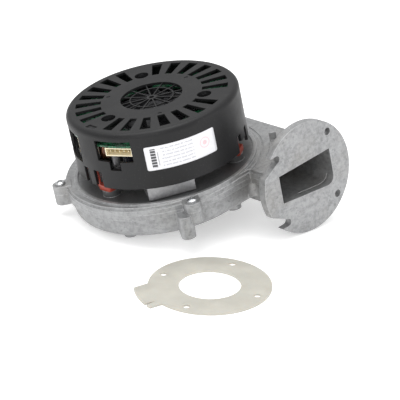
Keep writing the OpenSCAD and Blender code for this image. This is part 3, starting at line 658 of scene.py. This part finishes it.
class BLOWER_OT_board_parts(Operator):
    """Make the resistors and small chips on the board's ring"""
    bl_idname = "blower.board_parts"
    bl_label = "Board Parts"

    def execute(self, context):
        count = context.scene.blower_board.parts
        rng = np.random.default_rng(7)
        shape, quads = chip_shape()
        angle = (np.arange(count) + rng.uniform(-0.3, 0.3, count)) * 2.0 * np.pi / count
        radius = rng.uniform(*BOARD_RING, count)
        size = CHIP_SIZES[rng.integers(0, len(CHIP_SIZES), count)]
        turned = angle + rng.integers(0, 2, count) * np.pi / 2.0
        local = shape[None] * size[:, None]
        centre = radius * np.stack([np.cos(angle), np.sin(angle)])
        place = turned_about(local, turned) + np.stack([*centre, np.full(count, BOARD_TOP)], axis=-1)[:, None]
        faces = copies(quads, len(shape), count)
        points = tipped(place.reshape(-1, 3))
        piece = new_piece("board_small_parts", points, faces, "chip plastic", "housing")
        return {"FINISHED"}


def damper_shape():
    """One damper about its screw: a rounded square foot, a round neck under the carrier, and a fin.

    Each row holds half sizes, a height over the post and the power of its outline.
    """
    foot = np.array([
        [0.0, 0.0, 0.35], [6.6, 0.0, 0.35], [7.05, 0.15, 0.33], [7.25, 0.6, 0.32], [7.25, 2.4, 0.32],
        [7.25, 4.3, 0.32], [7.1, 4.8, 0.33], [6.7, 5.0, 0.36], [5.3, 5.05, 0.6], [4.7, 5.25, 0.85],
        [4.5, 5.7, 1.0], [4.4, 8.0, 1.0], [4.6, 9.9, 1.0], [4.5, 10.4, 1.0], [0.0, 10.4, 1.0]])
    body, body_faces = post(foot[:, 0], foot[:, 0], foot[:, 1], foot[:, 2])
    fin = np.array([
        [0.0, 0.0, 3.0], [0.9, 1.4, 3.0], [1.0, 1.5, 4.0], [1.0, 1.5, 10.0], [0.95, 1.45, 17.0],
        [0.85, 1.3, 18.0], [0.55, 0.9, 18.4], [0.0, 0.0, 18.5]])
    blade, blade_faces = post(fin[:, 0], fin[:, 1], fin[:, 2], np.full(len(fin), 0.4), steps=24)
    blade = blade + np.array([*FIN_CENTRE, 0.0])
    return np.concatenate([body, blade]), np.concatenate([body_faces, blade_faces + len(body)])


class BLOWER_OT_dampers(Operator):
    """Make the three silicone dampers between the dish and the motor"""
    bl_idname = "blower.dampers"
    bl_label = "Dampers"

    def execute(self, context):
        shape, quads = damper_shape()
        shape = shape + np.array([POST_R, 0.0, POST_TOP])
        points = tipped(turned_about(shape, POST_ANGLES).reshape(-1, 3))
        faces = copies(quads, len(shape), len(POST_ANGLES))
        piece = new_piece("damper_blocks", points, faces, "damper silicone", "housing")
        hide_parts("silicone_dampers")
        return {"FINISHED"}


def round_loop(radius, centre, steps):
    """Points of a round hole, clockwise, and their normals, which point to the hole's middle."""
    angle = -np.arange(steps) * 2.0 * np.pi / steps
    ray = np.stack([np.cos(angle), np.sin(angle)], axis=-1)
    return np.array(centre) + radius * ray, -ray


def tabbed_loop(radius, reach, steps=256):
    """Points and outward normals of a disc with a tab.

    At each angle the radius is the disc's, or the tab's where that is more: the tab ends on a circle
    of its reach and lies between two straight sides at left and right of its middle line. A known
    fault: on the middle line itself the tab's limit comes out negative, so one point falls back to
    the disc and leaves a narrow slit in the tab.
    """
    corners = [math.asin(TAB_LEFT / reach), math.asin(TAB_LEFT / radius),
               -math.asin(TAB_RIGHT / reach), -math.asin(TAB_RIGHT / radius)]
    even = np.linspace(-np.pi, np.pi, steps, endpoint=False)
    clear = np.abs(even[:, None] - np.array(corners)).min(axis=1) > np.pi / steps
    angle = np.union1d(even[clear], corners)
    side = np.sin(angle)
    limit = np.where(side > 0.0, TAB_LEFT, -TAB_RIGHT) / np.where(np.abs(side) < 1e-6, 1e-6, side)
    tab = np.where(np.cos(angle) > 0.0, np.minimum(reach, limit), 0.0)
    ray = np.stack([np.cos(angle + TAB_TURN), np.sin(angle + TAB_TURN)], axis=-1)
    points = np.maximum(radius, tab)[:, None] * ray
    ahead = np.roll(points, -1, axis=0) - points
    ahead /= np.linalg.norm(ahead, axis=-1, keepdims=True)
    step = ahead + np.roll(ahead, 1, axis=0)
    normals = np.stack([step[:, 1], -step[:, 0]], axis=-1)
    return points, normals / np.linalg.norm(normals, axis=-1, keepdims=True)


def within(places, loops):
    """Whether each place lies in the sheet.

    From a place in the sheet, a ray to the right crosses the loops an odd number of times.
    """
    a = np.concatenate(loops)
    b = np.concatenate([np.roll(loop, -1, axis=0) for loop in loops])
    x, y = places[:, :1], places[:, 1:]
    spans = (a[:, 1] > y) != (b[:, 1] > y)
    rise = np.where(a[:, 1] == b[:, 1], 1.0, b[:, 1] - a[:, 1])
    crossing = a[:, 0] + (y - a[:, 1]) * (b[:, 0] - a[:, 0]) / rise
    return (spans & (x < crossing)).sum(axis=1) % 2 == 1


def cut_sheet(loops, thickness, edge):
    """Points and faces of a flat sheet cut along loops, the first outside and the others holes.

    A rim runs round each loop: a quarter circle of the edge radius below, an upright side and a quarter
    circle above. The loops' inner ends bound a triangulated face above and another below.
    """
    bend = np.linspace(0.0, np.pi / 2.0, 5)
    inset = np.concatenate([edge * (1.0 - np.sin(bend)), edge * (1.0 - np.cos(bend))])
    height = np.concatenate([edge * (1.0 - np.cos(bend)), thickness - edge * (1.0 - np.sin(bend))])
    rims, faces, ends, chains, start, first = [], [], [], [], 0, 0
    for points, normals in loops:
        rows = points[None] - inset[:, None, None] * normals[None]
        rise = np.broadcast_to(height[:, None, None], (len(height), len(points), 1))
        rims.append(np.concatenate([rows, rise], axis=-1).reshape(-1, 3))
        faces.extend((grid_faces(len(height), len(points), wrap_columns=True) + start).tolist())
        ends.append(rows[-1])
        ring = first + np.arange(len(points))
        chains.extend(np.stack([ring, np.roll(ring, -1)], axis=-1).tolist())
        start += len(rims[-1])
        first += len(points)
    flat = np.concatenate(ends)
    found, _, triangles, _, _, _ = delaunay_2d_cdt(flat.tolist(), chains, [], 0, 1e-9)
    found = np.array([tuple(v) for v in found])
    lid = np.array(triangles)
    lid = lid[within(found[lid].mean(axis=1), ends)]
    for level, order in ((thickness, lid), (0.0, lid[:, ::-1])):
        rims.append(np.concatenate([found, np.full((len(found), 1), level)], axis=-1))
        faces.extend((order + start).tolist())
        start += len(found)
    return np.concatenate(rims), faces


class BLOWER_OT_gasket(Operator):
    """Make the loose outlet gasket"""
    bl_idname = "blower.gasket"
    bl_label = "Gasket"

    def execute(self, context):
        shape = context.scene.blower_gasket
        loops = [tabbed_loop(shape.diameter / 2.0 / MM, shape.tab_reach / MM),
                 round_loop(shape.hole / 2.0 / MM, (0.0, 0.0), 128)]
        for angle in GASKET_SCREWS:
            centre = GASKET_SCREW_R * np.array([math.cos(angle), math.sin(angle)])
            loops.append(round_loop(GASKET_SCREW_HOLE_R, centre, 40))
        points, faces = cut_sheet(loops, shape.thickness / MM, shape.round / MM)
        points = (points + np.array([*GASKET_CENTRE, 0.0])) * MM + np.array([0.0, 0.0, BENCH_Z])
        piece = new_piece("gasket_sheet", points, faces, "gasket silicone", "gasket")
        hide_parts("outlet_gasket")
        return {"FINISHED"}


# ---------------------------------------------------------------- stage

def area_light(name, place, size, power):
    """A square soft light at a place, turned to the blower."""
    lamp = bpy.data.lights.new(name, "AREA")
    lamp.size = size
    lamp.energy = power
    light = bpy.data.objects.new(name, lamp)
    bpy.context.scene.collection.objects.link(light)
    light.location = place
    back = np.array(place) - np.array(LIGHT_AIM)
    back = back / np.linalg.norm(back)
    light.rotation_euler = (math.acos(back[2]), 0.0, math.atan2(back[0], -back[1]))


class BLOWER_OT_stage(Operator):
    """Make the floor, the lights and the camera"""
    bl_idname = "blower.stage"
    bl_label = "Stage"

    def execute(self, context):
        look = context.scene.blower_stage
        f = Finish("studio floor", roughness=0.9, Emission_Strength=look.floor_glow)
        f.shader.inputs["Emission Color"].default_value = WHITE
        cloud = f.spread(f.noise(9.0), 0.3, 0.7)
        f.feed("Base Color", f.blend(cloud, np.array(look.floor_color) * 0.985, look.floor_color))
        side = np.linspace(-FLOOR_HALF, FLOOR_HALF, FLOOR_POINTS)
        x, y = np.meshgrid(side, side, indexing="ij")
        points = np.stack([x, y, np.full_like(x, BENCH_Z)], axis=-1).reshape(-1, 3)
        mesh = bpy.data.meshes.new("studio_floor")
        mesh.from_pydata(points.tolist(), [], grid_faces(FLOOR_POINTS, FLOOR_POINTS)[:, ::-1].tolist())
        mesh.materials.append(f.material)
        floor = bpy.data.objects.new("studio_floor", mesh)
        context.scene.collection.objects.link(floor)

        world = bpy.data.worlds.new("studio")
        world.use_nodes = True
        sky = world.node_tree.nodes["Background"]
        sky.inputs["Color"].default_value = WHITE
        sky.inputs["Strength"].default_value = look.sky
        context.scene.world = world
        area_light("overhead", (-0.15, 0.25, 1.5), 1.3, look.key_power)
        area_light("left_front", (-1.3, -0.8, 0.9), 0.8, look.key_power * 0.35)
        area_light("right_front", (0.8, -1.4, 0.7), 0.7, look.key_power * 0.3)

        camera = bpy.data.cameras.new("camera")
        camera.lens = look.lens
        camera.sensor_width = 36.0
        camera.clip_start = 0.05
        camera.clip_end = 50.0
        eye = bpy.data.objects.new("camera", camera)
        context.scene.collection.objects.link(eye)
        eye.location = CAMERA_PLACE
        eye.rotation_euler = CAMERA_TURN
        context.scene.camera = eye
        context.scene.view_settings.view_transform = "Standard"
        return {"FINISHED"}


# ---------------------------------------------------------------- panel and run

OPERATORS = (BLOWER_OT_stage, BLOWER_OT_finishes, BLOWER_OT_label, BLOWER_OT_dampers, BLOWER_OT_gasket,
             BLOWER_OT_board_parts)


class BLOWER_PT_panel(Panel):
    """Lists the blower's operators and looks."""
    bl_idname = "BLOWER_PT_panel"
    bl_label = "Premix Blower"
    bl_space_type = "VIEW_3D"
    bl_region_type = "UI"
    bl_category = "Blower"

    def draw(self, context):
        for operator in OPERATORS:
            self.layout.operator(operator.bl_idname)
        for look, name in LOOKS:
            box = self.layout.box()
            group = getattr(context.scene, name)
            for key in look.__annotations__:
                box.prop(group, key)


def register():
    for look, name in LOOKS:
        bpy.utils.register_class(look)
        setattr(bpy.types.Scene, name, PointerProperty(type=look))
    for cls in (*OPERATORS, BLOWER_PT_panel):
        bpy.utils.register_class(cls)


def unregister():
    for cls in (BLOWER_PT_panel, *reversed(OPERATORS)):
        bpy.utils.unregister_class(cls)
    for look, name in reversed(LOOKS):
        delattr(bpy.types.Scene, name)
        bpy.utils.unregister_class(look)


def main():
    """Registers the add-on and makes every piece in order."""
    register()
    bpy.ops.blower.stage()
    bpy.ops.blower.finishes()
    bpy.ops.blower.label()
    bpy.ops.blower.dampers()
    bpy.ops.blower.gasket()
    bpy.ops.blower.board_parts()


if __name__ == "__main__":
    main()
